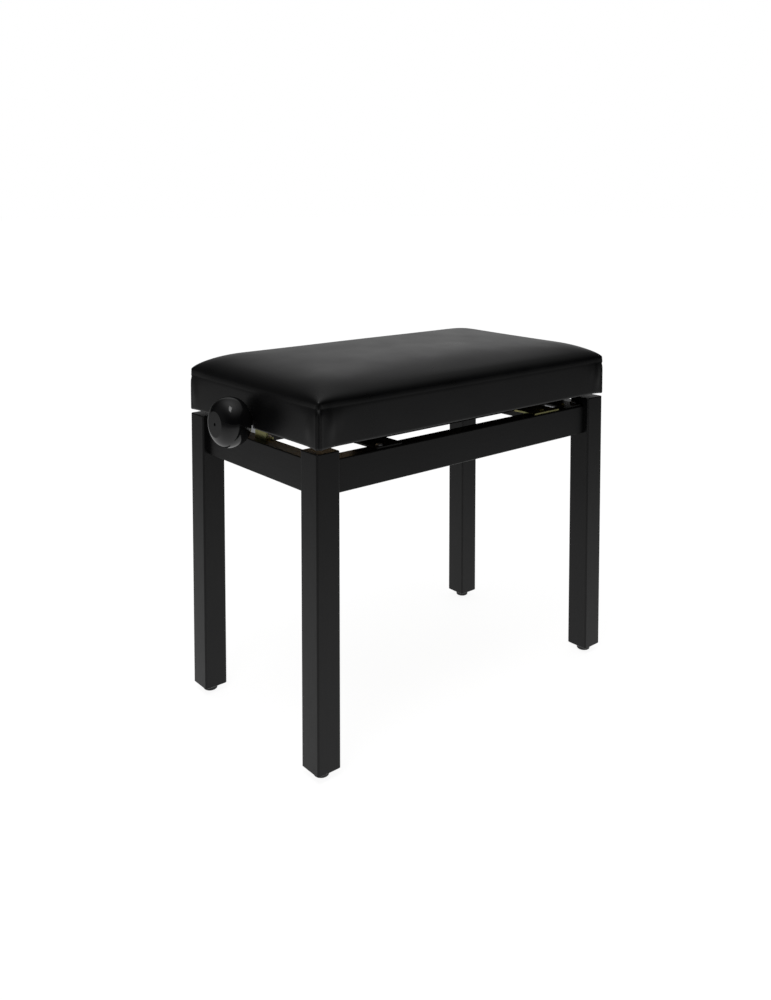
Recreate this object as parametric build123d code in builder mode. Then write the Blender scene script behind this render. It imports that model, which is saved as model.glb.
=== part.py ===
"""Adjustable piano bench.

Four square legs and four aprons make the base.  Two steel scissors, one on each
side of the middle, stand on the long aprons and carry the padded seat.  A threaded
rod with a right-hand and a left-hand half runs under the seat and draws the foot of
each scissor outwards, and the knob on its end raises the seat.

Millimetres, +Z up, X along the bench, Z = 0 under the feet.  The origin is under
the middle of the whole bench with its knob, which stands out past one end.
"""

import math
import os
from typing import NamedTuple

from build123d import *

os.makedirs("parts", exist_ok=True)

# --- Base ------------------------------------------------------------------
knob_overhang = 49.0
frame_x = knob_overhang / 2
frame_length = 555.0
frame_width = 310.0

foot_height = 9.0
foot_radius = 10.0
foot_recess_radius = 4.6
foot_recess_depth = 4.0

leg_side = 35.0
leg_height = 400.0
leg_edge = 2.5
leg_top = foot_height + leg_height

apron_height = 43.0
apron_thickness = 24.0
apron_recess = 8.0
apron_top = leg_top - 12.5
apron_edge = 1.5

corner_plate_reach = 33.5
corner_plate_flange = 22.0
corner_plate_thickness = 2.0
corner_plate_height = 36.0
hanger_bolt_radius = 4.0
hanger_bolt_length = 57.0
hanger_bolt_bite = 25.0
bolt_clearance = 0.5

# --- Seat ------------------------------------------------------------------
seat_length = 556.0
seat_width = 316.0
seat_bottom = leg_top + 6.5
seat_top = seat_bottom + 81.0
cover_thickness = 1.5
cover_turn_under = 15.0
cover_corner = 8.0
skirt_thickness = 18.0
skirt_top = seat_bottom + 37.0
board_thickness = 12.0
foam_clearance = 2.0
crown_radius = 26.0

# --- Lift ------------------------------------------------------------------
rod_height = 426.0
rod_radius = 6.0
lift_x = frame_x + 35.0
pivot_spread = 200.0
arm_reach = 187.0
arm_width = 16.0
arm_thickness = 4.0
arm_rest_angle = math.radians(5.5)
arm_top_angle = math.radians(35.0)
arm_rise = arm_reach * math.sin(arm_rest_angle)
upper_pivot_height = rod_height + arm_rise
pin_radius = 4.0
running_gap = 0.05
slot_gap = 0.1

base_web_y = 100.25
outer_arm_y = 96.5
inner_arm_y = 92.0
seat_web_y = 103.75
rail_thickness = 2.5
rail_length = 2 * (pivot_spread + 15.0)
rail_corner = 4.0
base_rail_top = rod_height + 10.0
seat_rail_bottom = upper_pivot_height - 10.0
seat_flange_width = 22.0

notch_radius = 13.0
knob_radius = 33.0
knob_face_radius = 17.0
hub_radius = 9.0


class Screw(NamedTuple):
    """Sizes of one kind of round-headed screw."""

    shank_radius: float
    shank_length: float
    head_radius: float
    head_height: float


foot_screw = Screw(2.0, 18.0, 4.0, 2.2)
corner_screw = Screw(1.6, 16.0, 3.6, 1.8)
rail_bolt = Screw(2.5, 20.0, 5.0, 3.0)
gold_screw = Screw(2.0, 16.0, 4.2, 2.6)
bracket_screw = Screw(1.8, 14.0, 3.8, 2.4)
seat_screw = Screw(1.8, 12.0, 3.8, 2.4)
screw_tip_gap = 1.0


def save(piece, name):
    """Label a finished sub-part and write it as its own STEP file."""
    piece.part.label = name
    export_step(piece.part, f"parts/{name}.step")


def build_screw(size):
    """A round-headed screw: its head stands on Z = 0, its shank goes down."""
    with BuildPart() as fastener:
        with BuildSketch(Plane.XY):
            Circle(size.head_radius)
        extrude(amount=size.head_height)
        fillet(fastener.faces().sort_by(Axis.Z)[-1].edges(), 0.6 * size.head_height)
        with BuildSketch(Plane.XY):
            Circle(size.shank_radius)
        extrude(amount=-size.shank_length)
        chamfer(fastener.faces().sort_by(Axis.Z)[0].edges(), 0.4 * size.shank_radius)
    return fastener.part


def save_screws(size, places, name):
    """Put one kind of screw at several places and write them as one sub-part."""
    fastener = build_screw(size)
    with BuildPart() as screws:
        with Locations(*places):
            add(fastener)
    save(screws, name)


# --- Places shared by several sub-parts --------------------------------------
ends = {"left": -1, "right": 1}
sides = {"front": -1, "rear": 1}
corners = {f"{side}_{end}": (sx, sy) for side, sy in sides.items() for end, sx in ends.items()}

leg_x = frame_length / 2 - leg_side / 2
leg_y = frame_width / 2 - leg_side / 2
apron_y = frame_width / 2 - apron_recess - apron_thickness / 2
apron_x = frame_length / 2 - apron_recess - apron_thickness / 2
inner_y = apron_y - apron_thickness / 2
inner_x = apron_x - apron_thickness / 2
apron_middle = apron_top - apron_height / 2

# Hanger bolts leave each leg at 45 degrees, level with the middle of the aprons.
hanger_places = [
    Plane(
        origin=(frame_x + sx * (leg_x - leg_side / 2), sy * (leg_y - leg_side / 2), apron_middle),
        x_dir=(0, 0, 1),
        z_dir=(-sx, -sy, 0),
    )
    for sx, sy in corners.values()
]

flange_middle = corner_plate_reach + corner_plate_flange / 2
long_apron_screws = {
    side: [
        Plane(
            origin=(frame_x + sx * (inner_x - flange_middle), sy * (inner_y - corner_plate_thickness), z),
            z_dir=(0, -sy, 0),
        )
        for sx in ends.values()
        for z in (apron_middle - 10, apron_middle + 10)
    ]
    for side, sy in sides.items()
}
short_apron_screws = {
    end: [
        Plane(
            origin=(frame_x + sx * (inner_x - corner_plate_thickness), sy * (inner_y - flange_middle), z),
            z_dir=(-sx, 0, 0),
        )
        for sy in sides.values()
        for z in (apron_middle - 10, apron_middle + 10)
    ]
    for end, sx in ends.items()
}

corner_screw_places = [
    place
    for group in (*long_apron_screws.values(), *short_apron_screws.values())
    for place in group
]

# Screws that hold the lift's rails and the yellow tie plates down on the long aprons.
ear_height = apron_top + rail_thickness
ear_outer_y = apron_y + 9.0
left_ear = (lift_x - 211.0, lift_x - 165.0)
right_ear = (lift_x + 165.0, lift_x + 206.0)
tie_plate_span = (lift_x + 95.0, lift_x + 150.0)
rail_bolt_places = [(lift_x - 200.0, apron_y + 1), (lift_x + 201.0, apron_y - 4)]
gold_screw_places = [(lift_x + 122.5, apron_y - 2), (lift_x + 177.0, apron_y - 7)]
bracket_screw_x = frame_x - 250.3
bracket_screw_y = 8.0
bracket_thickness = 3.0

pivot_x = {end: lift_x + sx * pivot_spread for end, sx in ends.items()}
slide_x = {
    end: lift_x + sx * (pivot_spread - arm_reach * math.cos(arm_rest_angle)) for end, sx in ends.items()
}
slide_travel = arm_reach * (math.cos(arm_rest_angle) - math.cos(arm_top_angle))
slot_length = slide_travel + 2 * (pin_radius + 1.0)


def slot_centre(sx):
    """The middle of the slot that one sliding arm end runs in."""
    return lift_x + sx * (pivot_spread - arm_reach * math.cos(arm_rest_angle) + slide_travel / 2)


# --- Legs and feet -----------------------------------------------------------
foot_hole_depth = foot_screw.shank_length - (foot_height - foot_recess_depth) + screw_tip_gap
for corner, (sx, sy) in corners.items():
    with BuildPart() as leg:
        with BuildSketch(Plane.XY.offset(foot_height)):
            with Locations((frame_x + sx * leg_x, sy * leg_y)):
                RectangleRounded(leg_side, leg_side, leg_edge)
        extrude(amount=leg_height)
        fillet(leg.faces().sort_by(Axis.Z)[-1].edges(), 1.2)
        chamfer(leg.faces().sort_by(Axis.Z)[0].edges(), 1.0)
        with Locations(*hanger_places):
            Hole(hanger_bolt_radius, depth=hanger_bolt_bite)
        with Locations(Plane((frame_x + sx * leg_x, sy * leg_y, foot_height), z_dir=(0, 0, -1))):
            Hole(foot_screw.shank_radius, depth=foot_hole_depth)
    save(leg, f"leg_{corner}")

    with BuildPart() as foot:
        with BuildSketch(Plane.XY):
            with Locations((frame_x + sx * leg_x, sy * leg_y)):
                Circle(foot_radius)
        extrude(amount=foot_height)
        fillet(foot.faces().sort_by(Axis.Z)[0].edges(), 2.0)
        fillet(foot.faces().sort_by(Axis.Z)[-1].edges(), 0.8)
        with BuildSketch(Plane.XY):
            with Locations((frame_x + sx * leg_x, sy * leg_y)):
                Circle(foot_recess_radius)
        extrude(amount=foot_recess_depth, mode=Mode.SUBTRACT)
        with Locations((frame_x + sx * leg_x, sy * leg_y, foot_height)):
            Hole(foot_screw.shank_radius)
    save(foot, f"foot_{corner}")

foot_screw_places = [
    Plane((frame_x + sx * leg_x, sy * leg_y, foot_recess_depth), z_dir=(0, 0, -1))
    for sx, sy in corners.values()
]
save_screws(foot_screw, foot_screw_places, "foot_screws")

# --- Aprons ------------------------------------------------------------------
for side, sy in sides.items():
    with BuildPart() as apron:
        with BuildSketch(Plane.XY.offset(apron_top)):
            with Locations((frame_x, sy * apron_y)):
                Rectangle(frame_length - 2 * leg_side, apron_thickness)
        extrude(amount=-apron_height)
        fillet(apron.edges().filter_by(Axis.X), apron_edge)
        with Locations(*hanger_places):
            Cylinder(hanger_bolt_radius + bolt_clearance, 2 * hanger_bolt_bite, mode=Mode.SUBTRACT)
        with Locations(*long_apron_screws[side]):
            Hole(corner_screw.shank_radius, depth=corner_screw.shank_length)
        with Locations(*[(x, sy * y, apron_top) for x, y in rail_bolt_places]):
            Hole(rail_bolt.shank_radius, depth=rail_bolt.shank_length)
        with Locations(*[(x, sy * y, apron_top) for x, y in gold_screw_places]):
            Hole(gold_screw.shank_radius, depth=gold_screw.shank_length)
    save(apron, f"apron_{side}")

for end, sx in ends.items():
    with BuildPart() as apron:
        with BuildSketch(Plane.XY.offset(apron_top)):
            with Locations((frame_x + sx * apron_x, 0)):
                Rectangle(apron_thickness, frame_width - 2 * leg_side)
        extrude(amount=-apron_height)
        fillet(apron.edges().filter_by(Axis.Y), apron_edge)
        with Locations(*hanger_places):
            Cylinder(hanger_bolt_radius + bolt_clearance, 2 * hanger_bolt_bite, mode=Mode.SUBTRACT)
        with Locations(*short_apron_screws[end]):
            Hole(corner_screw.shank_radius, depth=corner_screw.shank_length)
        if end == "left":
            with Locations(*[(bracket_screw_x, sy * bracket_screw_y, apron_top) for sy in sides.values()]):
                Hole(bracket_screw.shank_radius, depth=bracket_screw.shank_length)
    save(apron, f"apron_{end}")

# --- Corner joints -------------------------------------------------------------
bend = corner_plate_thickness * math.tan(math.radians(22.5))
reach = corner_plate_reach
flange_end = reach + corner_plate_flange
with BuildPart() as corner_plates:
    with BuildSketch(Plane.XY.offset(apron_middle - corner_plate_height / 2)):
        for sx, sy in corners.values():
            outline = [
                (0, flange_end),
                (0, reach),
                (reach, 0),
                (flange_end, 0),
                (flange_end, corner_plate_thickness),
                (reach + bend, corner_plate_thickness),
                (corner_plate_thickness, reach + bend),
                (corner_plate_thickness, flange_end),
            ]
            with BuildLine():
                Polyline(
                    [(frame_x + sx * (inner_x - a), sy * (inner_y - b)) for a, b in outline],
                    close=True,
                )
            make_face()
    extrude(amount=corner_plate_height)
    with Locations(*hanger_places):
        Cylinder(hanger_bolt_radius, 2 * hanger_bolt_bite, mode=Mode.SUBTRACT)
    with Locations(*corner_screw_places):
        Cylinder(corner_screw.shank_radius, 3 * corner_plate_thickness, mode=Mode.SUBTRACT)
save(corner_plates, "corner_plates")

save_screws(corner_screw, corner_screw_places, "corner_plate_screws")

with BuildPart() as hanger_bolts:
    with BuildSketch(*[place.offset(-hanger_bolt_bite) for place in hanger_places]):
        Circle(hanger_bolt_radius)
    extrude(amount=hanger_bolt_length)
save(hanger_bolts, "hanger_bolts")

# The nuts bear on the 45-degree middle of each corner plate.
leg_corner_depth = (inner_x - leg_x + leg_side / 2) + (inner_y - leg_y + leg_side / 2)
plate_face = (reach - leg_corner_depth) / math.sqrt(2) + corner_plate_thickness
nut_flange_radius = 9.0
nut_flange_thickness = 1.6
nut_corner_radius = 7.5
nut_height = 6.5
with BuildPart() as hanger_nuts:
    with BuildSketch(*[place.offset(plate_face) for place in hanger_places]):
        Circle(nut_flange_radius)
        Circle(hanger_bolt_radius, mode=Mode.SUBTRACT)
    extrude(amount=nut_flange_thickness)
    with BuildSketch(*[place.offset(plate_face + nut_flange_thickness) for place in hanger_places]):
        RegularPolygon(nut_corner_radius, 6)
        Circle(hanger_bolt_radius, mode=Mode.SUBTRACT)
    extrude(amount=nut_height)
save(hanger_nuts, "hanger_nuts")

# --- Lift rails on the base -----------------------------------------------------
for side, sy in sides.items():
    with BuildPart() as base_rail:
        with BuildSketch(Plane.XZ.offset(-sy * base_web_y)):
            with Locations((lift_x, (apron_top + base_rail_top) / 2)):
                RectangleRounded(rail_length, base_rail_top - apron_top, rail_corner)
            with Locations(*[(slot_centre(sx), rod_height) for sx in ends.values()]):
                SlotOverall(slot_length, 2 * (pin_radius + slot_gap), mode=Mode.SUBTRACT)
            with Locations(*[(x, rod_height) for x in pivot_x.values()]):
                Circle(pin_radius, mode=Mode.SUBTRACT)
        extrude(amount=rail_thickness / 2, both=True)
        for ear in (left_ear, right_ear):
            with BuildSketch(Plane.XY.offset(apron_top)):
                with Locations((sum(ear) / 2, sy * (base_web_y + ear_outer_y) / 2)):
                    Rectangle(ear[1] - ear[0], ear_outer_y - base_web_y)
            extrude(amount=rail_thickness)
        fillet(
            base_rail.edges().filter_by(Axis.Z).group_by(Axis.Y)[0 if sy < 0 else -1],
            rail_corner,
        )
        with Locations(*[(x, sy * y, ear_height) for x, y in rail_bolt_places]):
            Hole(rail_bolt.shank_radius, depth=rail_thickness)
        with Locations((gold_screw_places[1][0], sy * gold_screw_places[1][1], ear_height)):
            Hole(gold_screw.shank_radius, depth=rail_thickness)
    save(base_rail, f"base_rail_{side}")

web_face_y = base_web_y + rail_thickness / 2
with BuildPart() as tie_plates:
    for sy in sides.values():
        with BuildSketch(Plane.XY.offset(apron_top)):
            with Locations((sum(tie_plate_span) / 2, sy * (web_face_y + ear_outer_y) / 2)):
                Rectangle(tie_plate_span[1] - tie_plate_span[0], ear_outer_y - web_face_y)
            with Locations((gold_screw_places[0][0], sy * gold_screw_places[0][1])):
                Circle(gold_screw.shank_radius, mode=Mode.SUBTRACT)
        extrude(amount=rail_thickness)
save(tie_plates, "tie_plates")

cross_tie_width = 25.0
cross_tie_thickness = 3.0
cross_tie_offset = 165.0
with BuildPart() as base_cross_ties:
    with BuildSketch(Plane.XY.offset(apron_top)):
        with Locations((lift_x - cross_tie_offset, 0), (lift_x + cross_tie_offset, 0)):
            Rectangle(cross_tie_width, 2 * (base_web_y - rail_thickness / 2))
    extrude(amount=cross_tie_thickness)
save(base_cross_ties, "base_cross_ties")

rail_bolt_spots = [(x, sy * y, ear_height) for x, y in rail_bolt_places for sy in sides.values()]
save_screws(rail_bolt, rail_bolt_spots, "rail_bolts")

gold_screw_spots = [(x, sy * y, ear_height) for x, y in gold_screw_places for sy in sides.values()]
save_screws(gold_screw, gold_screw_spots, "tie_plate_screws")

# Shoulder pins hold the fixed lower ends of the outer arms to the rails.
head_gap = 0.2
lower_pin_inner_y = outer_arm_y - arm_thickness / 2 - head_gap
lower_pin_head = (7.0, 3.0)
peened_end = (6.0, 1.5)
with BuildPart() as lower_pivot_pins:
    for x in pivot_x.values():
        for sy in sides.values():
            web = Plane((x, sy * web_face_y, rod_height), z_dir=(0, sy, 0))
            with BuildSketch(web):
                Circle(lower_pin_head[0])
            extrude(amount=lower_pin_head[1])
            with BuildSketch(web):
                Circle(pin_radius)
            extrude(amount=lower_pin_inner_y - web_face_y)
            with BuildSketch(web.offset(lower_pin_inner_y - web_face_y)):
                Circle(peened_end[0])
            extrude(amount=-peened_end[1])
save(lower_pivot_pins, "lower_pivot_pins")

# --- Rod bearing on the left apron ------------------------------------------------
bearing_x = frame_x - 254.5
bush_radius = 8.0
bush_flange = (10.5, 2.0)
bracket_half_width = 13.5
bracket_foot_reach = 11.5
with BuildPart() as shaft_bracket:
    with BuildSketch(Plane.YZ.offset(bearing_x)):
        with Locations((0, rod_height)):
            Circle(bracket_half_width)
        with Locations((0, (apron_top + rod_height) / 2)):
            Rectangle(2 * bracket_half_width, rod_height - apron_top)
        with Locations((0, rod_height)):
            Circle(bush_radius, mode=Mode.SUBTRACT)
    extrude(amount=-bracket_thickness)
    with BuildSketch(Plane.XY.offset(apron_top)):
        with Locations((bearing_x - bracket_thickness + bracket_foot_reach / 2, 0)):
            Rectangle(bracket_foot_reach, 2 * bracket_half_width)
        with Locations(*[(bracket_screw_x, sy * bracket_screw_y) for sy in sides.values()]):
            Circle(bracket_screw.shank_radius, mode=Mode.SUBTRACT)
    extrude(amount=bracket_thickness)
save(shaft_bracket, "shaft_bracket")

with BuildPart() as shaft_bush:
    with BuildSketch(Plane.YZ.offset(bearing_x - bracket_thickness)):
        with Locations((0, rod_height)):
            Circle(bush_radius)
    extrude(amount=bracket_thickness)
    with BuildSketch(Plane.YZ.offset(bearing_x)):
        with Locations((0, rod_height)):
            Circle(bush_flange[0])
    extrude(amount=bush_flange[1])
    with Locations(Plane((bearing_x, 0, rod_height), z_dir=(1, 0, 0))):
        Cylinder(rod_radius + running_gap, 6 * bracket_thickness, mode=Mode.SUBTRACT)
save(shaft_bush, "shaft_bush")

bracket_screw_spots = [
    (bracket_screw_x, sy * bracket_screw_y, apron_top + bracket_thickness) for sy in sides.values()
]
save_screws(bracket_screw, bracket_screw_spots, "bracket_screws")

# --- Threaded rod and knob ----------------------------------------------------------
knob_face_x = frame_x - seat_length / 2 - knob_overhang
knob_middle_x = knob_face_x + 20.5
knob_back_x = knob_face_x + 44.0
hub_end_x = knob_face_x + 62.0
rod_start_x = knob_face_x + 26.0
rod_end_x = lift_x + 70.0
knob_back_radius = hub_radius + 3.0
dimple = (2.2, 2.0)
set_screw_x = hub_end_x - 5.0
set_screw_radius = 1.5
knob_plane = Plane((0, 0, rod_height), x_dir=(1, 0, 0), z_dir=(0, -1, 0))

with BuildPart() as knob:
    with BuildSketch(knob_plane):
        with BuildLine():
            Line((hub_end_x, 0), (knob_face_x, 0))
            Line((knob_face_x, 0), (knob_face_x, knob_face_radius))
            Spline(
                (knob_face_x, knob_face_radius),
                (knob_middle_x, knob_radius),
                tangents=[(0.35, 1), (1, 0)],
            )
            Spline(
                (knob_middle_x, knob_radius),
                (knob_back_x, knob_back_radius),
                tangents=[(1, 0), (0.05, -1)],
            )
            Line((knob_back_x, knob_back_radius), (knob_back_x, hub_radius))
            Line((knob_back_x, hub_radius), (hub_end_x, hub_radius))
            Line((hub_end_x, hub_radius), (hub_end_x, 0))
        make_face()
    revolve(axis=Axis((0, 0, rod_height), (1, 0, 0)))
    fillet(knob.faces().sort_by(Axis.X)[0].edges(), 1.0)
    with Locations(Plane((knob_face_x, 0, rod_height), z_dir=(-1, 0, 0))):
        Hole(dimple[0], depth=dimple[1])
    with Locations(Plane((hub_end_x, 0, rod_height), z_dir=(1, 0, 0))):
        Hole(rod_radius, depth=hub_end_x - rod_start_x)
    with Locations((set_screw_x, 0, rod_height + hub_radius)):
        Hole(set_screw_radius, depth=hub_radius)
save(knob, "knob")

with BuildPart() as knob_set_screw:
    with BuildSketch(Plane.XY.offset(rod_height + rod_radius + 0.1)):
        with Locations((set_screw_x, 0)):
            Circle(set_screw_radius)
    extrude(amount=hub_radius - rod_radius - 0.4)
save(knob_set_screw, "knob_set_screw")

with BuildPart() as threaded_rod:
    with BuildSketch(Plane.YZ.offset(rod_start_x)):
        with Locations((0, rod_height)):
            Circle(rod_radius)
    extrude(amount=rod_end_x - rod_start_x)
    chamfer(threaded_rod.faces().sort_by(Axis.X)[-1].edges(), 1.0)
save(threaded_rod, "threaded_rod")

collar_x = bearing_x + bush_flange[1] + 0.3
collar_radius = 11.0
collar_length = 9.0
with BuildPart() as thrust_collar:
    with BuildSketch(Plane.YZ.offset(collar_x)):
        with Locations((0, rod_height)):
            Circle(collar_radius)
            Circle(rod_radius, mode=Mode.SUBTRACT)
    extrude(amount=collar_length)
    chamfer(thrust_collar.edges().filter_by(GeomType.CIRCLE).group_by(SortBy.RADIUS)[-1], 0.8)
save(thrust_collar, "thrust_collar")

end_nut_corner_radius = 9.5
end_nut_height = 7.0
rod_past_nut = 3.0
with BuildPart() as rod_end_nut:
    with BuildSketch(Plane.YZ.offset(rod_end_x - rod_past_nut - end_nut_height)):
        with Locations((0, rod_height)):
            RegularPolygon(end_nut_corner_radius, 6)
            Circle(rod_radius, mode=Mode.SUBTRACT)
    extrude(amount=end_nut_height)
save(rod_end_nut, "rod_end_nut")

# --- Scissor arms ------------------------------------------------------------------
arm_middle_height = rod_height + arm_rise / 2
nut_bar_side = 20.0
nut_bar_reach = inner_arm_y - arm_thickness / 2 - 2.0
nut_radius = 8.5
shaft_end_y = seat_web_y + rail_thickness / 2 + 2.3
shaft_head_radius = 5.5
rivet_head = (6.5, 1.6)

for end, sx in ends.items():
    centre_x = (pivot_x[end] + slide_x[end]) / 2
    # An outer arm climbs inwards from the base rail, an inner arm climbs outwards.
    climbs = {"outer": -sx, "inner": sx}
    middles_y = {"outer": outer_arm_y, "inner": inner_arm_y}
    # Radii of the three bores, at the pivot end, the middle and the sliding end.
    bores = {
        "outer": (pin_radius + running_gap, pin_radius, pin_radius),
        "inner": (pin_radius + running_gap, pin_radius + running_gap, pin_radius + running_gap),
    }
    for side, sy in sides.items():
        for layer in ("outer", "inner"):
            slope = climbs[layer] * math.tan(arm_rest_angle)
            arm_plane = Plane(
                origin=(centre_x, sy * middles_y[layer], arm_middle_height),
                x_dir=(1, 0, slope),
                z_dir=(0, -1, 0),
            )
            pivot_end, middle, sliding_end = bores[layer]
            with BuildPart() as arm:
                with BuildSketch(arm_plane):
                    SlotCenterToCenter(arm_reach, arm_width)
                    with Locations((sx * arm_reach / 2, 0)):
                        Circle(pivot_end, mode=Mode.SUBTRACT)
                    Circle(middle, mode=Mode.SUBTRACT)
                    with Locations((-sx * arm_reach / 2, 0)):
                        Circle(sliding_end, mode=Mode.SUBTRACT)
                extrude(amount=arm_thickness / 2, both=True)
            save(arm, f"{end}_{layer}_arm_{side}")

    # The cross shaft joins the two outer arms and slides in the seat rails.
    with BuildPart() as cross_shaft:
        with BuildSketch(Plane.XZ.offset(-shaft_end_y)):
            with Locations((slide_x[end], upper_pivot_height)):
                Circle(pin_radius)
        extrude(amount=2 * shaft_end_y)
        for sy in sides.values():
            with BuildSketch(Plane.XZ.offset(-sy * shaft_end_y)):
                with Locations((slide_x[end], upper_pivot_height)):
                    Circle(shaft_head_radius)
            extrude(amount=1.0, both=True)
    save(cross_shaft, f"{end}_cross_shaft")

    # A flush rivet in the middle of each crossing pair of arms.
    rivet_outer_y = outer_arm_y + arm_thickness / 2
    rivet_inner_y = inner_arm_y - arm_thickness / 2 - head_gap
    with BuildPart() as arm_rivets:
        for sy in sides.values():
            with BuildSketch(Plane((centre_x, sy * rivet_outer_y, arm_middle_height), z_dir=(0, sy, 0))):
                Circle(pin_radius)
            extrude(amount=-(rivet_outer_y - rivet_inner_y))
            with BuildSketch(Plane((centre_x, sy * rivet_inner_y, arm_middle_height), z_dir=(0, sy, 0))):
                Circle(rivet_head[0])
            extrude(amount=-rivet_head[1])
    save(arm_rivets, f"{end}_arm_rivets")

    # The nut bar joins the two inner arms, and its journals run on to the base rails.
    journal_end_y = base_web_y + rail_thickness / 2 + 0.5
    with BuildPart() as nut_bar:
        with BuildSketch(Plane.XZ.offset(-nut_bar_reach)):
            with Locations((slide_x[end], rod_height)):
                RectangleRounded(nut_bar_side, nut_bar_side, 1.5)
        extrude(amount=2 * nut_bar_reach)
        with BuildSketch(Plane.XZ.offset(-journal_end_y)):
            with Locations((slide_x[end], rod_height)):
                Circle(pin_radius)
        extrude(amount=2 * journal_end_y)
        with Locations(Plane((slide_x[end], 0, rod_height), z_dir=(1, 0, 0))):
            Cylinder(nut_radius, 2 * nut_bar_side, mode=Mode.SUBTRACT)
    save(nut_bar, f"{end}_nut_bar")

    with BuildPart() as lift_nut:
        with Locations(Plane((slide_x[end], 0, rod_height), z_dir=(1, 0, 0))):
            Cylinder(nut_radius, nut_bar_side)
            Cylinder(rod_radius + running_gap, 2 * nut_bar_side, mode=Mode.SUBTRACT)
    save(lift_nut, f"{end}_lift_nut")

# --- Seat rails --------------------------------------------------------------------
seat_web_outer_y = seat_web_y + rail_thickness / 2
seat_screw_y = seat_web_outer_y + seat_flange_width / 2
seat_screw_x = [lift_x + offset for offset in (-185.0, -65.0, 65.0, 185.0)]
for side, sy in sides.items():
    with BuildPart() as seat_rail:
        with BuildSketch(Plane.XZ.offset(-sy * seat_web_y)):
            with Locations((lift_x, (seat_rail_bottom + skirt_top) / 2)):
                Rectangle(rail_length, skirt_top - seat_rail_bottom)
            with Locations(*[(slot_centre(sx), upper_pivot_height) for sx in ends.values()]):
                SlotOverall(slot_length, 2 * (pin_radius + slot_gap), mode=Mode.SUBTRACT)
            with Locations(*[(x, upper_pivot_height) for x in pivot_x.values()]):
                Circle(pin_radius, mode=Mode.SUBTRACT)
        extrude(amount=rail_thickness / 2, both=True)
        with BuildSketch(Plane.XY.offset(skirt_top)):
            with Locations((lift_x, sy * (seat_web_outer_y + seat_flange_width / 2))):
                Rectangle(rail_length, seat_flange_width)
            with Locations(*[(x, sy * seat_screw_y) for x in seat_screw_x]):
                Circle(seat_screw.shank_radius, mode=Mode.SUBTRACT)
        extrude(amount=-rail_thickness)
    save(seat_rail, f"seat_rail_{side}")

seat_screw_places = [
    Plane((x, sy * seat_screw_y, skirt_top - rail_thickness), z_dir=(0, 0, -1))
    for x in seat_screw_x
    for sy in sides.values()
]
save_screws(seat_screw, seat_screw_places, "seat_rail_screws")

upper_pin_inner_y = inner_arm_y - arm_thickness / 2 - head_gap
upper_pin_head = (5.8, 2.5)
with BuildPart() as upper_pivot_pins:
    for x in pivot_x.values():
        for sy in sides.values():
            web = Plane((x, sy * seat_web_outer_y, upper_pivot_height), z_dir=(0, sy, 0))
            with BuildSketch(web):
                Circle(upper_pin_head[0])
            extrude(amount=upper_pin_head[1])
            with BuildSketch(web):
                Circle(pin_radius)
            extrude(amount=upper_pin_inner_y - seat_web_outer_y)
            with BuildSketch(web.offset(upper_pin_inner_y - seat_web_outer_y)):
                Circle(peened_end[0])
            extrude(amount=-peened_end[1])
save(upper_pivot_pins, "upper_pivot_pins")

# --- Seat ----------------------------------------------------------------------------
core_length = seat_length - 2 * cover_thickness
core_width = seat_width - 2 * cover_thickness
skirt_bottom = seat_bottom + cover_thickness
skirt_height = skirt_top - skirt_bottom
board_top = skirt_top + board_thickness

for side, sy in sides.items():
    with BuildPart() as skirt:
        with BuildSketch(Plane.XY.offset(skirt_bottom)):
            with Locations((frame_x, sy * (core_width - skirt_thickness) / 2)):
                Rectangle(core_length, skirt_thickness)
        extrude(amount=skirt_height)
        outer_face = skirt.faces().sort_by(Axis.Y)[0 if sy < 0 else -1]
        fillet(outer_face.edges().filter_by(Axis.Z), cover_corner - cover_thickness)
    save(skirt, f"seat_skirt_{side}")

for end, sx in ends.items():
    with BuildPart() as skirt:
        with BuildSketch(Plane.XY.offset(skirt_bottom)):
            with Locations((frame_x + sx * (core_length - skirt_thickness) / 2, 0)):
                Rectangle(skirt_thickness, core_width - 2 * skirt_thickness)
        extrude(amount=skirt_height)
        if end == "left":
            with BuildSketch(Plane.YZ.offset(frame_x - seat_length / 2)):
                with Locations((0, rod_height)):
                    Circle(notch_radius + 1.0)
                with Locations((0, (rod_height + seat_bottom) / 2)):
                    Rectangle(2 * (notch_radius + 1.0), rod_height - seat_bottom)
            extrude(amount=2 * skirt_thickness, mode=Mode.SUBTRACT)
    save(skirt, f"seat_skirt_{end}")

with BuildPart() as seat_board:
    with BuildSketch(Plane.XY.offset(skirt_top)):
        with Locations((frame_x, 0)):
            RectangleRounded(core_length, core_width, cover_corner - cover_thickness)
    extrude(amount=board_thickness)
    with Locations(*seat_screw_places):
        Hole(seat_screw.shank_radius, depth=seat_screw.shank_length)
save(seat_board, "seat_board")

with BuildPart() as seat_foam:
    with BuildSketch(Plane.XY.offset(board_top)):
        with Locations((frame_x, 0)):
            RectangleRounded(
                core_length - 2 * foam_clearance,
                core_width - 2 * foam_clearance,
                cover_corner - cover_thickness,
            )
    extrude(amount=seat_top - cover_thickness - foam_clearance - board_top)
    fillet(seat_foam.faces().sort_by(Axis.Z)[-1].edges(), crown_radius - cover_thickness - foam_clearance)
save(seat_foam, "seat_foam")

# The cover is one skin, pulled down over the sides and turned under the skirts.
with BuildPart() as padding_room:
    with BuildSketch(Plane.XY.offset(board_top)):
        with Locations((frame_x, 0)):
            RectangleRounded(core_length, core_width, cover_corner - cover_thickness)
    extrude(amount=seat_top - cover_thickness - board_top)
    fillet(padding_room.faces().sort_by(Axis.Z)[-1].edges(), crown_radius - cover_thickness)

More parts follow.
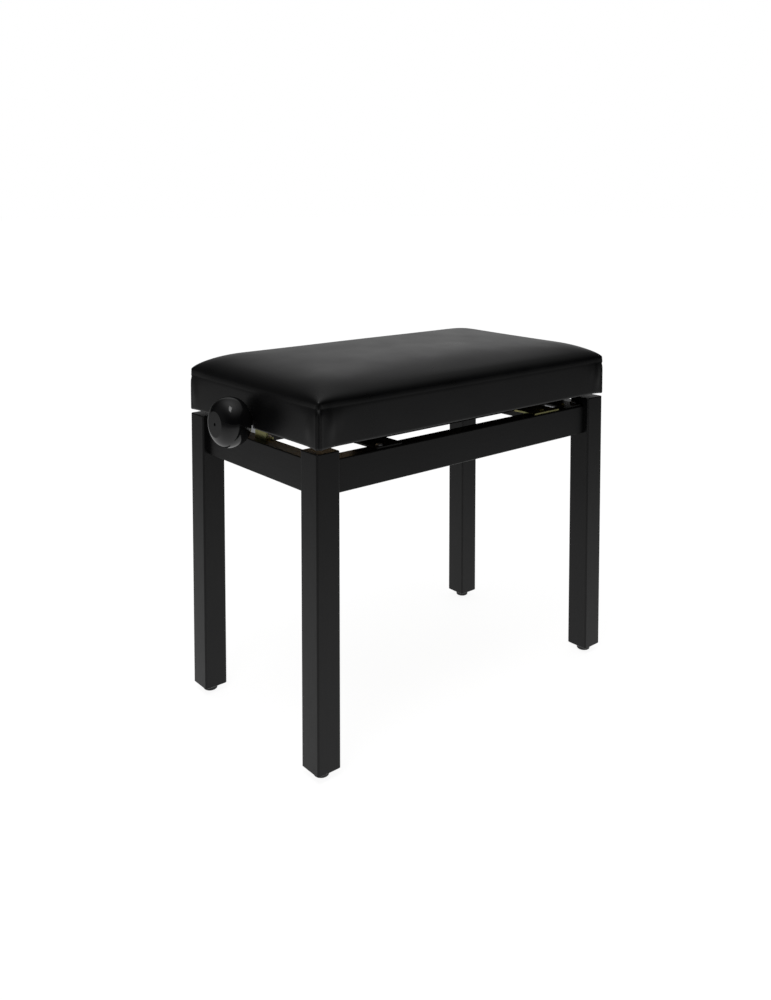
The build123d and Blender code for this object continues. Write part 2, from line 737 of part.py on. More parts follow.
with BuildPart() as seat_cover:
    with BuildSketch(Plane.XY.offset(seat_bottom)):
        with Locations((frame_x, 0)):
            RectangleRounded(seat_length, seat_width, cover_corner)
    extrude(amount=seat_top - seat_bottom)
    fillet(seat_cover.faces().sort_by(Axis.Z)[-1].edges(), crown_radius)
    with BuildSketch(Plane.XY.offset(skirt_bottom)):
        with Locations((frame_x, 0)):
            RectangleRounded(core_length, core_width, cover_corner - cover_thickness)
    extrude(amount=board_top - skirt_bottom, mode=Mode.SUBTRACT)
    add(padding_room.part, mode=Mode.SUBTRACT)
    with BuildSketch(Plane.XY.offset(seat_bottom)):
        with Locations((frame_x, 0)):
            Rectangle(core_length - 2 * cover_turn_under, core_width - 2 * cover_turn_under)
    extrude(amount=cover_thickness, mode=Mode.SUBTRACT)
    with BuildSketch(Plane.YZ.offset(frame_x - seat_length / 2)):
        with Locations((0, rod_height)):
            Circle(notch_radius)
        with Locations((0, (rod_height + seat_bottom) / 2)):
            Rectangle(2 * notch_radius, rod_height - seat_bottom)
    extrude(amount=2 * skirt_thickness, mode=Mode.SUBTRACT)
save(seat_cover, "seat_cover")
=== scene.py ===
"""The looks of the adjustable piano bench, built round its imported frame.

Metres, in the frame's own axes: X along the bench with the knob at minus X, Y from
the front long side to the rear one, Z up from the floor.
"""

import math

import bmesh
import bpy
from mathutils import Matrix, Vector


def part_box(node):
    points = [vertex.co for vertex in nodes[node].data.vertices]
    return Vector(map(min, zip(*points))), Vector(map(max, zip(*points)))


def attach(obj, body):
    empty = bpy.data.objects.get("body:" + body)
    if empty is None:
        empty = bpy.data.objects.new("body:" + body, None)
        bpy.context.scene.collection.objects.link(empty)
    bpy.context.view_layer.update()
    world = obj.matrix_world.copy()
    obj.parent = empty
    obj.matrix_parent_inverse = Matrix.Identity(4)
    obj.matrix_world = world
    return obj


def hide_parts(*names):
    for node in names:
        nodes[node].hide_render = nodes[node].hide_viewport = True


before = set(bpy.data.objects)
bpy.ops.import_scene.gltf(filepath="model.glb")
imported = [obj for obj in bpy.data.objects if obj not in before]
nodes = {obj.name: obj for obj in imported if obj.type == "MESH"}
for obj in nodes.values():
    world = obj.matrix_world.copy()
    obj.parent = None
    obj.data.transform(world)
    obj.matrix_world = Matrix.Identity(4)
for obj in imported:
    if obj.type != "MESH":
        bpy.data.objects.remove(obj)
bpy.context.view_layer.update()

MM = 0.001
ENDS = ("left", "right")
SIDES = ("front", "rear")
CORNERS = [f"{side}_{end}" for side in SIDES for end in ENDS]


# --- Node helpers ------------------------------------------------------------
class Finish:
    """One material under construction: a node tree with its Principled shader."""

    def __init__(self, name, base, roughness, metallic=0.0, specular=0.5):
        self.material = bpy.data.materials.new(name)
        self.material.use_nodes = True
        self.tree = self.material.node_tree
        self.shader = self.tree.nodes["Principled BSDF"]
        self.shader.inputs["Base Color"].default_value = (*base, 1.0)
        self.shader.inputs["Roughness"].default_value = roughness
        self.shader.inputs["Metallic"].default_value = metallic
        self.shader.inputs["Specular IOR Level"].default_value = specular
        self.coordinates = self.add("ShaderNodeTexCoord").outputs["Object"]

    def add(self, kind, **settings):
        made = self.tree.nodes.new(kind)
        for key, value in settings.items():
            setattr(made, key, value)
        return made

    def link(self, source, target):
        self.tree.links.new(source, target)

    def stretched(self, scale):
        """Object coordinates scaled by axis, so that a pattern runs along one of them."""
        mapping = self.add("ShaderNodeMapping")
        mapping.inputs["Scale"].default_value = scale
        self.link(self.coordinates, mapping.inputs["Vector"])
        return mapping.outputs["Vector"]

    def noise(self, scale, detail=3.0, roughness=0.5, vector=None, distortion=0.0):
        made = self.add("ShaderNodeTexNoise")
        made.inputs["Scale"].default_value = scale
        made.inputs["Detail"].default_value = detail
        made.inputs["Roughness"].default_value = roughness
        made.inputs["Distortion"].default_value = distortion
        self.link(vector or self.coordinates, made.inputs["Vector"])
        return made.outputs["Fac"]

    def cells(self, scale, randomness=1.0):
        made = self.add("ShaderNodeTexVoronoi", feature="DISTANCE_TO_EDGE")
        made.inputs["Scale"].default_value = scale
        made.inputs["Randomness"].default_value = randomness
        self.link(self.coordinates, made.inputs["Vector"])
        return made.outputs["Distance"]

    def ramp(self, factor, stops):
        """A colour ramp from (position, colour) stops; a colour may be one grey number."""
        made = self.add("ShaderNodeValToRGB")
        while len(made.color_ramp.elements) < len(stops):
            made.color_ramp.elements.new(0.5)
        for element, (position, colour) in zip(made.color_ramp.elements, stops):
            element.position = position
            rgb = colour if isinstance(colour, tuple) else (colour, colour, colour)
            element.color = (*rgb, 1.0)
        self.link(factor, made.inputs["Fac"])
        return made.outputs["Color"]

    def spread(self, factor, low, high):
        """A noise factor, which rarely leaves 0.3 to 0.7, remapped onto low to high."""
        made = self.add("ShaderNodeMapRange")
        made.inputs["From Min"].default_value = 0.3
        made.inputs["From Max"].default_value = 0.7
        made.inputs["To Min"].default_value = low
        made.inputs["To Max"].default_value = high
        self.link(factor, made.inputs["Value"])
        return made.outputs["Result"]

    def colour(self, source):
        self.link(source, self.shader.inputs["Base Color"])

    def rough(self, source):
        self.link(source, self.shader.inputs["Roughness"])

    def bump(self, layers):
        """Stack bump layers, each (height, strength, depth in metres)."""
        normal = None
        for height, strength, depth in layers:
            made = self.add("ShaderNodeBump")
            made.inputs["Strength"].default_value = strength
            made.inputs["Distance"].default_value = depth
            self.link(height, made.inputs["Height"])
            if normal is not None:
                self.link(normal, made.inputs["Normal"])
            normal = made.outputs["Normal"]
        self.link(normal, self.shader.inputs["Normal"])


# --- Materials ---------------------------------------------------------------
def satin_lacquer(name, grain_scale):
    """Black lacquer on fine-grained wood; grain_scale is smallest along the grain."""
    finish = Finish(name, (0.005, 0.005, 0.0055), 0.36, specular=0.3)
    grain = finish.noise(1.0, 4.0, 0.6, finish.stretched(grain_scale))
    clouds = finish.noise(9.0, 4.0)
    peel = finish.noise(900.0, 2.0)
    finish.colour(finish.ramp(clouds, [(0.3, (0.004, 0.004, 0.0044)), (0.7, (0.0062, 0.0061, 0.0065))]))
    finish.rough(finish.spread(grain, 0.31, 0.41))
    finish.bump([(grain, 0.25, 0.00015), (peel, 0.12, 0.00006)])
    return finish.material


def black_vinyl():
    """Soft black upholstery vinyl with a fine pebble grain."""
    finish = Finish("black_vinyl", (0.006, 0.006, 0.0065), 0.3, specular=0.4)
    pebbles = finish.cells(820.0)
    large = finish.cells(310.0, randomness=0.9)
    clouds = finish.noise(14.0, 4.0)
    pores = finish.noise(2600.0, 2.0)
    finish.colour(finish.ramp(clouds, [(0.32, (0.005, 0.005, 0.0054)), (0.7, (0.0072, 0.0072, 0.0077))]))
    finish.rough(finish.spread(clouds, 0.27, 0.34))
    finish.bump([(large, 0.10, 0.0002), (pebbles, 0.22, 0.00016), (pores, 0.1, 0.00005)])
    return finish.material


def gloss_knob():
    """Moulded black plastic, polished, with faint sink marks."""
    finish = Finish("gloss_black_plastic", (0.006, 0.006, 0.0065), 0.09, specular=0.5)
    haze = finish.noise(60.0, 3.0)
    sink = finish.noise(35.0, 1.0)
    finish.rough(finish.spread(haze, 0.07, 0.13))
    finish.colour(finish.ramp(haze, [(0.3, (0.0055, 0.0055, 0.006)), (0.7, (0.0075, 0.0075, 0.008))]))
    finish.bump([(sink, 0.25, 0.0002)])
    return finish.material


def plated_steel(name, light, dark, roughness, brushing):
    """Zinc plated steel, with drawn lines and clouded passivation."""
    finish = Finish(name, light, roughness, metallic=1.0)
    clouds = finish.noise(75.0, 5.0, 0.6)
    lines = finish.noise(1.0, 4.0, 0.65, finish.stretched(brushing))
    finish.colour(finish.ramp(clouds, [(0.3, dark), (0.72, light)]))
    finish.rough(finish.spread(lines, roughness - 0.07, roughness + 0.1))
    finish.bump([(lines, 0.2, 0.00008)])
    return finish.material


def powder_coat():
    """Black powder coat on steel, with its fine pimpled skin."""
    finish = Finish("black_powder_coat", (0.012, 0.012, 0.013), 0.5, specular=0.4)
    skin = finish.noise(1400.0, 3.0)
    clouds = finish.noise(30.0, 3.0)
    finish.colour(finish.ramp(clouds, [(0.3, 0.009), (0.7, 0.015)]))
    finish.rough(finish.spread(skin, 0.44, 0.58))
    finish.bump([(skin, 0.35, 0.00012)])
    return finish.material


def moulded_nylon(name, light, dark, roughness):
    """Moulded nylon with a fine spark-eroded texture."""
    finish = Finish(name, light, roughness, specular=0.4)
    texture = finish.noise(1800.0, 3.0)
    clouds = finish.noise(80.0, 3.0)
    finish.colour(finish.ramp(clouds, [(0.3, dark), (0.7, light)]))
    finish.rough(finish.spread(texture, roughness - 0.06, roughness + 0.08))
    finish.bump([(texture, 0.3, 0.0001)])
    return finish.material


def bare_wood(name, light, dark, grain_scale):
    """Unfinished wood with growth bands and pores along the grain."""
    finish = Finish(name, light, 0.72, specular=0.3)
    vector = finish.stretched(grain_scale)
    bands = finish.noise(1.0, 5.0, 0.55, vector, distortion=0.6)
    pores = finish.noise(7.0, 3.0, 0.7, vector)
    middle = tuple((a + b) / 2 for a, b in zip(light, dark))
    finish.colour(finish.ramp(bands, [(0.3, dark), (0.48, middle), (0.7, light)]))
    finish.rough(finish.spread(pores, 0.64, 0.84))
    finish.bump([(bands, 0.3, 0.0003), (pores, 0.4, 0.0002)])
    return finish.material


def machined_bronze():
    finish = Finish("machined_bronze", (0.55, 0.36, 0.16), 0.34, metallic=1.0)
    rings = finish.noise(1.0, 3.0, 0.5, finish.stretched((2600.0, 60.0, 60.0)))
    clouds = finish.noise(120.0, 3.0)
    finish.colour(finish.ramp(clouds, [(0.3, (0.42, 0.26, 0.11)), (0.7, (0.6, 0.4, 0.18))]))
    finish.rough(finish.spread(rings, 0.26, 0.42))
    finish.bump([(rings, 0.25, 0.00006)])
    return finish.material


def open_cell_foam():
    finish = Finish("seat_foam", (0.72, 0.66, 0.42), 0.9, specular=0.2)
    cells = finish.cells(900.0)
    finish.colour(finish.ramp(cells, [(0.0, (0.45, 0.4, 0.24)), (0.4, (0.75, 0.69, 0.45))]))
    finish.bump([(cells, 0.8, 0.0006)])
    return finish.material


def dress(names, material):
    """Give CAD nodes their finish."""
    for name in names:
        mesh = nodes[name].data
        if not mesh.materials:
            mesh.materials.append(material)
        for index in range(len(mesh.materials)):
            mesh.materials[index] = material


# Noise scales that draw a grain out along one axis.
ALONG_X = (35.0, 700.0, 700.0)
ALONG_Y = (700.0, 35.0, 700.0)
ALONG_Z = (700.0, 700.0, 35.0)

VINYL = black_vinyl()
BRIGHT_ZINC = plated_steel("bright_zinc", (0.6, 0.61, 0.63), (0.42, 0.43, 0.45), 0.3, ALONG_Y)
PINE = ((0.2, 0.14, 0.085), (0.13, 0.085, 0.045))
YELLOW_ZINC = plated_steel("yellow_zinc", (0.62, 0.55, 0.24), (0.4, 0.42, 0.2), 0.32, ALONG_X)
POWDER = powder_coat()

dress([f"leg_{c}" for c in CORNERS], satin_lacquer("lacquer_on_legs", ALONG_Z))
dress(["apron_front", "apron_rear"], satin_lacquer("lacquer_on_long_aprons", ALONG_X))
dress(["apron_left", "apron_right"], satin_lacquer("lacquer_on_short_aprons", ALONG_Y))
dress(
    [f"foot_{c}" for c in CORNERS],
    moulded_nylon("foot_nylon", (0.03, 0.03, 0.03), (0.02, 0.02, 0.02), 0.5),
)
dress(["shaft_bush"], moulded_nylon("bush_nylon", (0.78, 0.76, 0.7), (0.66, 0.64, 0.57), 0.42))
dress(
    [
        "foot_screws", "corner_plates", "corner_plate_screws", "hanger_bolts", "hanger_nuts",
        "rail_bolts", "lower_pivot_pins", "upper_pivot_pins", "bracket_screws", "knob_set_screw",
        "thrust_collar", "rod_end_nut", "left_arm_rivets", "right_arm_rivets", "left_cross_shaft",
        "right_cross_shaft", "seat_rail_screws", "threaded_rod",
    ],
    BRIGHT_ZINC,
)
dress(
    [f"{end}_{layer}_arm_{side}" for end in ENDS for layer in ("outer", "inner") for side in SIDES]
    + ["tie_plates", "tie_plate_screws", "shaft_bracket"],
    YELLOW_ZINC,
)
dress(
    [f"base_rail_{s}" for s in SIDES] + [f"seat_rail_{s}" for s in SIDES]
    + [f"{end}_nut_bar" for end in ENDS] + ["base_cross_ties"],
    POWDER,
)
dress(["left_lift_nut", "right_lift_nut"], machined_bronze())
dress(["knob"], gloss_knob())
dress([f"seat_skirt_{side}" for side in SIDES], bare_wood("pine_along", *PINE, (5.0, 120.0, 120.0)))
dress([f"seat_skirt_{end}" for end in ENDS], bare_wood("pine_across", *PINE, (120.0, 5.0, 120.0)))
dress(["seat_board"], bare_wood("birch_ply", (0.62, 0.46, 0.28), (0.42, 0.28, 0.15), (6.0, 160.0, 160.0)))
dress(["seat_foam"], open_cell_foam())


# --- Mesh helpers --------------------------------------------------------------
def piece_from(bm, name, material):
    """Turn a finished bmesh into an object at the origin."""
    mesh = bpy.data.meshes.new(name)
    bm.to_mesh(mesh)
    bm.free()
    mesh.materials.append(material)
    for polygon in mesh.polygons:
        polygon.use_smooth = True
    made = bpy.data.objects.new(name, mesh)
    bpy.context.scene.collection.objects.link(made)
    return made


def clamp(value, low=0.0, high=1.0):
    return max(low, min(high, value))


def ease(value):
    """Smooth step from 0 to 1."""
    value = clamp(value)
    return value * value * (3 - 2 * value)


def hill(distance, centre, width):
    """A smooth bump of height 1 round centre."""
    return math.exp(-(((distance - centre) / width) ** 2))


# --- Seat cover ------------------------------------------------------------------
cover_low, cover_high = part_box("seat_cover")
board_low, board_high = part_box("seat_board")
knob_low, knob_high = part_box("knob")
SEAT_MIDDLE = (cover_low.x + cover_high.x) / 2
HALF_LENGTH = (cover_high.x - cover_low.x) / 2
HALF_WIDTH = (cover_high.y - cover_low.y) / 2
SEAT_BOTTOM = cover_low.z
CROWN = cover_high.z
CREASE = board_high.z + 0.5 * MM
CORNER_RADIUS = 8 * MM
TIGHTEST_CORNER = 0.5 * MM

# The padding rises over the edge roll, then domes gently and stands fuller at the rear.
EDGE_ROLL = 70 * MM
ROLL_POWER = 2.4
BROAD_DOME = 4 * MM
REAR_FULLNESS = 4 * MM
ROLL_RISE = CROWN - CREASE - BROAD_DOME
LEAST_RISE = 1e-4

COVER_THICKNESS = 1.2 * MM
TURN_UNDER = 15 * MM
HEM_ROLL = 2.2 * MM
HEM_DROOP = 1.6 * MM

# Mesh rows, closer together towards the rim and the crease.
TOP_COLUMNS = 170
TOP_ROWS = 110
TOP_CROWDING = 1.5
SIDE_ROWS = 34
SIDE_CROWDING = 1.25
HEM_ROWS = 4
TURN_UNDER_ROWS = 5

# Folds reach this far in over the top, and this far in under the hem.
FOLD_REACH = 16 * MM
FOLD_FADE = 12 * MM
HEM_REACH = 3 * MM

# The slack sheet is held at its rim and blown out by the padding.
SLACK = 2.5 * MM
SWELL_CAP = 4 * MM
PRESSURE = 0.3
HELD_RIM = 14 * MM
CLOTH_FRAMES = 20

NOTCH_RADIUS = 13 * MM
NOTCH_DROP = 30 * MM
NOTCH_LEAD = 10 * MM
NOTCH_LENGTH = 45 * MM
NOTCH_STEPS = 24
ROD_HEIGHT = (knob_low.z + knob_high.z) / 2


def crowded(t):
    """Spread -1..1 so that rows lie closer together towards the edges."""
    return math.copysign(1 - (1 - abs(t)) ** TOP_CROWDING, t)


def rounded_corner(x, y):
    """Push a point of the full rectangle inside the rounded corners."""
    a = (abs(x) - (HALF_LENGTH - CORNER_RADIUS)) / CORNER_RADIUS
    b = (abs(y) - (HALF_WIDTH - CORNER_RADIUS)) / CORNER_RADIUS
    if a <= 0 or b <= 0:
        return x, y
    u = a * math.sqrt(1 - b * b / 2)
    v = b * math.sqrt(1 - a * a / 2)
    new_x = HALF_LENGTH - CORNER_RADIUS + u * CORNER_RADIUS
    new_y = HALF_WIDTH - CORNER_RADIUS + v * CORNER_RADIUS
    return math.copysign(new_x, x), math.copysign(new_y, y)


def edge_rise(distance):
    """How far the padding has risen, 0 to 1, at a distance in from the edge."""
    return (1 - (1 - clamp(distance / EDGE_ROLL)) ** ROLL_POWER) ** (1 / ROLL_POWER)


def crown_height(x, y):
    """Height of the slack top sheet over a point of the seat, before the padding fills it."""
    u, v = x / HALF_LENGTH, y / HALF_WIDTH
    along = edge_rise(HALF_LENGTH - abs(x)) + LEAST_RISE
    across = edge_rise(HALF_WIDTH - abs(y)) + LEAST_RISE
    roll = 1 / math.sqrt(along ** -2 + across ** -2 - 1)
    fuller = REAR_FULLNESS * (1 + v) / 2
    return CREASE + (ROLL_RISE + fuller) * roll + (BROAD_DOME - SLACK) * (1 - u * u) * (1 - v * v)


def outline_point(x, y, inset=0.0):
    """The nearest point of the rounded outline, drawn in by the inset, and the way out of it there."""
    radius = max(CORNER_RADIUS - inset, TIGHTEST_CORNER)
    middle = Vector((HALF_LENGTH, HALF_WIDTH)) - Vector((1, 1)) * (inset + radius)
    over_x = abs(x) - middle.x
    over_y = abs(y) - middle.y
    if over_x > 0 and over_y > 0:
        way = Vector((over_x, over_y)).normalized()
        point = middle + way * radius
    elif over_x > over_y:
        way = Vector((1, 0))
        point = Vector((middle.x + radius, abs(y)))
    else:
        way = Vector((0, 1))
        point = Vector((abs(x), middle.y + radius))
    signs = Vector((math.copysign(1, x), math.copysign(1, y)))
    return point * signs, way * signs


def from_corner(x, y):
    """Distance along the outline from the nearest corner: plus on a long side, minus on a short one."""
    over_x = abs(x) - (HALF_LENGTH - CORNER_RADIUS)
    over_y = abs(y) - (HALF_WIDTH - CORNER_RADIUS)
    quarter = CORNER_RADIUS * math.pi / 4
    if over_x > 0 and over_y > 0:
        return (math.atan2(over_y, over_x) - math.pi / 4) * CORNER_RADIUS
    if over_x > over_y:
        return over_y - quarter
    return quarter - over_x


def make_top(bm):
    """The slack top sheet, down to its rim at the crease."""
    bmesh.ops.create_grid(bm, x_segments=TOP_COLUMNS, y_segments=TOP_ROWS, size=1.0)
    for vert in bm.verts:
        x, y = rounded_corner(crowded(vert.co.x) * HALF_LENGTH, crowded(vert.co.y) * HALF_WIDTH)
        vert.co = Vector((x, y, crown_height(x, y)))


def side_rings():
    """Inset and height of each ring, from the crease down the side and in under the seat."""
    straight = CREASE - SEAT_BOTTOM - HEM_ROLL
    rings = [
        (0.0, CREASE - straight * (i / SIDE_ROWS) ** SIDE_CROWDING)
        for i in range(1, SIDE_ROWS + 1)
    ]
    for i in range(1, HEM_ROWS + 1):
        angle = math.radians(90) * i / HEM_ROWS
        rings.append((HEM_ROLL * (1 - math.cos(angle)), SEAT_BOTTOM + HEM_ROLL * (1 - math.sin(angle))))
    for i in range(1, TURN_UNDER_ROWS + 1):
        rings.append((HEM_ROLL + (TURN_UNDER - HEM_ROLL) * i / TURN_UNDER_ROWS, SEAT_BOTTOM))
    return rings


def make_sides(bm):
    """Pull the sheet's rim down over the skirt and turn it under."""
    rim = [edge for edge in bm.edges if edge.is_boundary]
    for inset, height in side_rings():
        made = bmesh.ops.extrude_edge_only(bm, edges=rim)["geom"]
        rim = [item for item in made if isinstance(item, bmesh.types.BMEdge) and item.is_boundary]
        for vert in {vert for edge in rim for vert in edge.verts}:
            point, _ = outline_point(vert.co.x, vert.co.y, inset)
            vert.co = point.to_3d()
            vert.co.z = height


def fold_offset(corner, below):
    """How far the vinyl stands out at the rim, in mm, given mm from a corner and mm below the crease.

    Each fold is a height in mm times hills, one along the rim and one down the side.
    """
    near = hill(corner, 0, 40)
    groove = -0.2 * hill(below, 0.5, 2.3) - 0.9 * near * hill(below, 0, 7.0)
    knot = 1.5 * hill(corner, 0.3, 1.8) * hill(below, 1.0, 2.4)
    seam = 1.0 * hill(corner, 3.6, 1.7) + 0.7 * hill(corner, -3.2, 1.7) - 1.3 * hill(corner, 0.5, 1.0)
    long_bulge = 1.6 * hill(corner, 17, 6) * hill(below, 22, 17)
    short_bulge = 1.0 * hill(corner, -15, 8) * hill(below, 26, 16)
    ripple = 0.35 * hill(corner, 31, 6) * hill(below, 16, 12)
    return groove + knot + seam * ease(below / 9) + long_bulge + short_bulge + ripple


def fold_corners(bm):
    """Press the crease, the corner pleats and the hem's droop into the skin."""
    for vert in bm.verts:
        point, way = outline_point(vert.co.x, vert.co.y)
        inset = (vert.co.xy - point).length
        below = (CREASE - vert.co.z) / MM
        if inset > FOLD_REACH or (inset > HEM_REACH and below > 0):
            continue
        corner = from_corner(*point) / MM
        fade = 1 - ease(inset / FOLD_FADE)
        vert.co += way.to_3d() * fold_offset(corner, below) * fade * MM
        vert.co.z -= HEM_DROOP * hill(corner, 0, 15) * ease((below - 15) / 36)


class Swelling:
    """How far the padding pushes each part of the slack top sheet, found by cloth simulation."""

    COLUMNS = 112
    ROWS = 64

    def __init__(self):
        sheet = self.slack_sheet()
        before = [vert.co.copy() for vert in sheet.data.vertices]
        self.inflate(sheet)
        swollen = sheet.evaluated_get(bpy.context.evaluated_depsgraph_get()).data
        self.moves = {}
        for old, vert in zip(before, swollen.vertices):
            move = vert.co - old
            if move.length > SWELL_CAP:
                move = move * (SWELL_CAP / move.length)
            self.moves[self.knot(old)] = move
        bpy.data.objects.remove(sheet)
        bpy.context.scene.frame_set(1)

    def cell(self, x, y):
        """Where a point of the seat falls on the sheet's weave, in columns and rows."""
        return (x / HALF_LENGTH + 1) / 2 * self.COLUMNS, (y / HALF_WIDTH + 1) / 2 * self.ROWS

    def knot(self, place):
        column, row = self.cell(place.x, place.y)
        return round(column), round(row)

    def slack_sheet(self):
        bm = bmesh.new()
        bmesh.ops.create_grid(bm, x_segments=self.COLUMNS, y_segments=self.ROWS, size=1.0)
        for vert in bm.verts:
            x, y = vert.co.x * HALF_LENGTH, vert.co.y * HALF_WIDTH
            vert.co = Vector((x, y, crown_height(x, y)))
        return piece_from(bm, "slack_sheet", VINYL)

    def inflate(self, sheet):
        held = sheet.vertex_groups.new(name="held")
        for vert in sheet.data.vertices:
            inset = min(HALF_LENGTH - abs(vert.co.x), HALF_WIDTH - abs(vert.co.y))
            held.add([vert.index], clamp(1 - inset / HELD_RIM), "REPLACE")
        cloth = sheet.modifiers.new("padding", "CLOTH")
        cloth.collision_settings.use_collision = False
        settings = cloth.settings
        settings.use_pressure = True
        settings.uniform_pressure_force = PRESSURE
        settings.vertex_group_mass = "held"
        settings.effector_weights.gravity = 0
        for number in range(1, CLOTH_FRAMES + 1):
            bpy.context.scene.frame_set(number)

    def at(self, x, y):
        """The push at any point, between the four knots round it."""
        column, row = self.cell(x, y)
        left = min(int(column), self.COLUMNS - 1)
        low = min(int(row), self.ROWS - 1)
        across, up = column - left, row - low
        lower = self.moves[left, low].lerp(self.moves[left + 1, low], across)
        upper = self.moves[left, low + 1].lerp(self.moves[left + 1, low + 1], across)
        return lower.lerp(upper, up)


def cut_notch(cover):
    """The opening at one end that lets the rod through, open at the bottom."""
    bm = bmesh.new()
    angles = [math.pi * i / NOTCH_STEPS for i in range(NOTCH_STEPS + 1)]
    arch = [Vector((0, NOTCH_RADIUS * math.cos(a), NOTCH_RADIUS * math.sin(a))) for a in angles]
    arch += [Vector((0, -NOTCH_RADIUS, -NOTCH_DROP)), Vector((0, NOTCH_RADIUS, -NOTCH_DROP))]
    start = Vector((cover_low.x - NOTCH_LEAD, 0, ROD_HEIGHT))
    face = bm.faces.new([bm.verts.new(start + corner) for corner in arch])
    made = bmesh.ops.extrude_face_region(bm, geom=[face])["geom"]
    for vert in [item for item in made if isinstance(item, bmesh.types.BMVert)]:
        vert.co.x += NOTCH_LENGTH
    bmesh.ops.recalc_face_normals(bm, faces=bm.faces)
    cutter = piece_from(bm, "notch_cutter", VINYL)
    notch = cover.modifiers.new("rod_notch", "BOOLEAN")
    notch.operation = "DIFFERENCE"
    notch.object = cutter
    shape = cover.evaluated_get(bpy.context.evaluated_depsgraph_get())
    done = bpy.data.meshes.new_from_object(shape)
    cover.modifiers.clear()
    cover.data = done
    bpy.data.objects.remove(cutter)


def make_seat_cover():
    bm = bmesh.new()
    make_top(bm)
    padding = Swelling()
    for vert in bm.verts:
        vert.co += padding.at(vert.co.x, vert.co.y)
    make_sides(bm)
    fold_corners(bm)
    bmesh.ops.translate(bm, verts=bm.verts, vec=(SEAT_MIDDLE, 0, 0))
    bmesh.ops.recalc_face_normals(bm, faces=bm.faces)
    cover = piece_from(bm, "vinyl_seat_cover", VINYL)
    thickness = cover.modifiers.new("vinyl_thickness", "SOLIDIFY")
    thickness.thickness = COVER_THICKNESS
    thickness.offset = -1
    cut_notch(cover)
    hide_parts("seat_cover", "seat_foam")
    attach(cover, "seat")


make_seat_cover()


# --- Studio ------------------------------------------------------------------------
# Pools of light that the paper itself gives off round the bench, a painted glow that lights the bench:
# radius in metres, brightness.
FLOOR_GLOW = [
    (0.6, 0.12),
    (1.8, 0.56),
]
PAPER_WHITE = 0.93
PAPER_HALF_SIZE = 60.0

# Each lobe of soft light: azimuth from +Y towards +X, elevation, sharpness, brightness.
SKY = [
    (45, 10, 10.0, 0.46),
    (0, 90, 4.0, 0.76),
    (-60, 15, 6.0, 0.08),
]

KEY_PLACE = (-0.9, -0.5, 2.4)
KEY_TARGET = (0, 0, 0.45)
KEY_SIZE = (0.55, 1.1)
KEY_POWER = 6.5

CAMERA_PLACE = (-0.9000, -1.0483, 0.7029)
CAMERA_PITCH = -3.24
CAMERA_HEADING = -40.18
LENS = 33.57
LENS_SHIFT = -0.238


class StudioTree:
    """Shorthand for the few sums that the backdrop and the floor need."""

    def __init__(self, tree):
        self.tree = tree

    def math(self, operation, *values):
        made = self.tree.nodes.new("ShaderNodeMath")
        made.operation = operation
        for socket, value in zip(made.inputs, values):
            if isinstance(value, (int, float)):
                socket.default_value = value
            else:
                self.tree.links.new(value, socket)
        return made.outputs["Value"]

    def seen_by_camera(self, others, camera):
        """One value for the camera's own rays and another for light and reflections."""
        path = self.tree.nodes.new("ShaderNodeLightPath").outputs["Is Camera Ray"]
        for_camera = self.math("MULTIPLY", path, camera)
        for_others = self.math("MULTIPLY", self.math("SUBTRACT", 1.0, path), others)
        return self.math("ADD", for_camera, for_others)


def make_floor():
    """White paper that itself glows brightest round the bench as painted light; the camera sees it white.
    """
    bm = bmesh.new()
    bmesh.ops.create_grid(bm, x_segments=1, y_segments=1, size=PAPER_HALF_SIZE)
    paper = Finish("studio_paper", (0.3, 0.3, 0.3), 0.9, specular=0.1)
    paper.colour(paper.ramp(paper.noise(0.7, 2.0), [(0.3, 0.29), (0.7, 0.31)]))
    light = StudioTree(paper.tree)
    distance = paper.add("ShaderNodeVectorMath", operation="LENGTH")
    paper.link(paper.coordinates, distance.inputs[0])
    total = 0.0
    for radius, brightness in FLOOR_GLOW:
        away = light.math("DIVIDE", distance.outputs["Value"], radius)
        pool = light.math("EXPONENT", light.math("MULTIPLY", light.math("MULTIPLY", away, away), -1.0))
        total = light.math("MULTIPLY_ADD", pool, brightness, total)
    # The emission is the painted glow: the pools for light and reflections, a plain white for the
    # camera's own rays.
    paper.shader.inputs["Emission Color"].default_value = (1, 1, 1, 1)
    paper.link(light.seen_by_camera(total, PAPER_WHITE), paper.shader.inputs["Emission Strength"])
    floor = piece_from(bm, "studio_floor", paper.material)


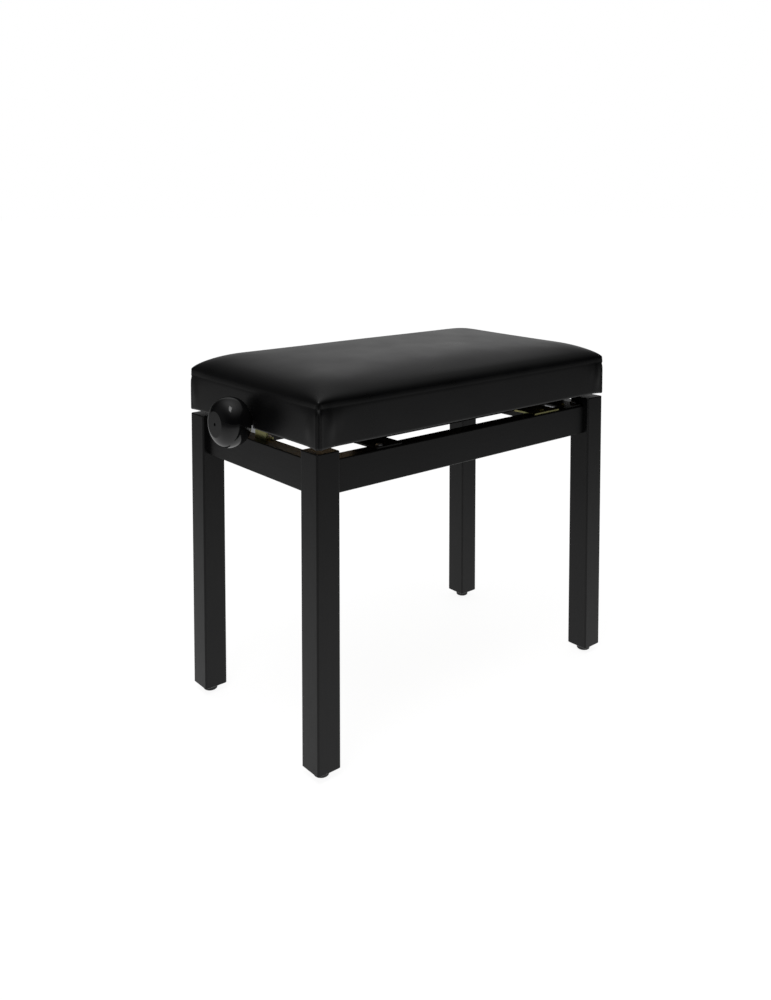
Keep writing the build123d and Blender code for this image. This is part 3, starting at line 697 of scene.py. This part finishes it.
def area_light(name, place, target, size, power):
    data = bpy.data.lights.new(name, "AREA")
    data.shape = "RECTANGLE"
    data.size, data.size_y = size
    data.energy = power
    lamp = bpy.data.objects.new(name, data)
    lamp.location = place
    lamp.rotation_euler = (Vector(target) - Vector(place)).to_track_quat("-Z", "Y").to_euler()
    bpy.context.scene.collection.objects.link(lamp)


def direction(azimuth, elevation):
    a, e = math.radians(azimuth), math.radians(elevation)
    return Vector((math.cos(e) * math.sin(a), math.cos(e) * math.cos(a), math.sin(e)))


def studio_sky():
    """Broad soft lights built into the world; the camera itself sees a white backdrop."""
    world = bpy.data.worlds.new("studio")
    world.use_nodes = True
    bpy.context.scene.world = world
    sky = StudioTree(world.node_tree)
    place = sky.tree.nodes.new("ShaderNodeTexCoord").outputs["Generated"]
    total = 0.0
    for azimuth, elevation, sharpness, brightness in SKY:
        facing = sky.tree.nodes.new("ShaderNodeVectorMath")
        facing.operation = "DOT_PRODUCT"
        facing.inputs[1].default_value = direction(azimuth, elevation)
        sky.tree.links.new(place, facing.inputs[0])
        lobe = sky.math("POWER", sky.math("MAXIMUM", facing.outputs["Value"], 0.0), sharpness)
        total = sky.math("MULTIPLY_ADD", lobe, brightness, total)
    strength = sky.tree.nodes["Background"].inputs["Strength"]
    sky.tree.nodes["Background"].inputs["Color"].default_value = (1, 1, 1, 1)
    sky.tree.links.new(sky.seen_by_camera(total, 1.0), strength)


def make_camera():
    data = bpy.data.cameras.new("camera")
    data.sensor_width = 36.0
    data.lens = LENS
    data.shift_y = LENS_SHIFT
    camera = bpy.data.objects.new("camera", data)
    camera.location = CAMERA_PLACE
    camera.rotation_euler = (math.radians(90 + CAMERA_PITCH), 0, math.radians(CAMERA_HEADING))
    bpy.context.scene.collection.objects.link(camera)
    bpy.context.scene.camera = camera


bpy.context.scene.view_settings.view_transform = "Standard"
make_floor()
studio_sky()
area_light("key_softbox", KEY_PLACE, KEY_TARGET, KEY_SIZE, KEY_POWER)
make_camera()

bpy.context.view_layer.update()
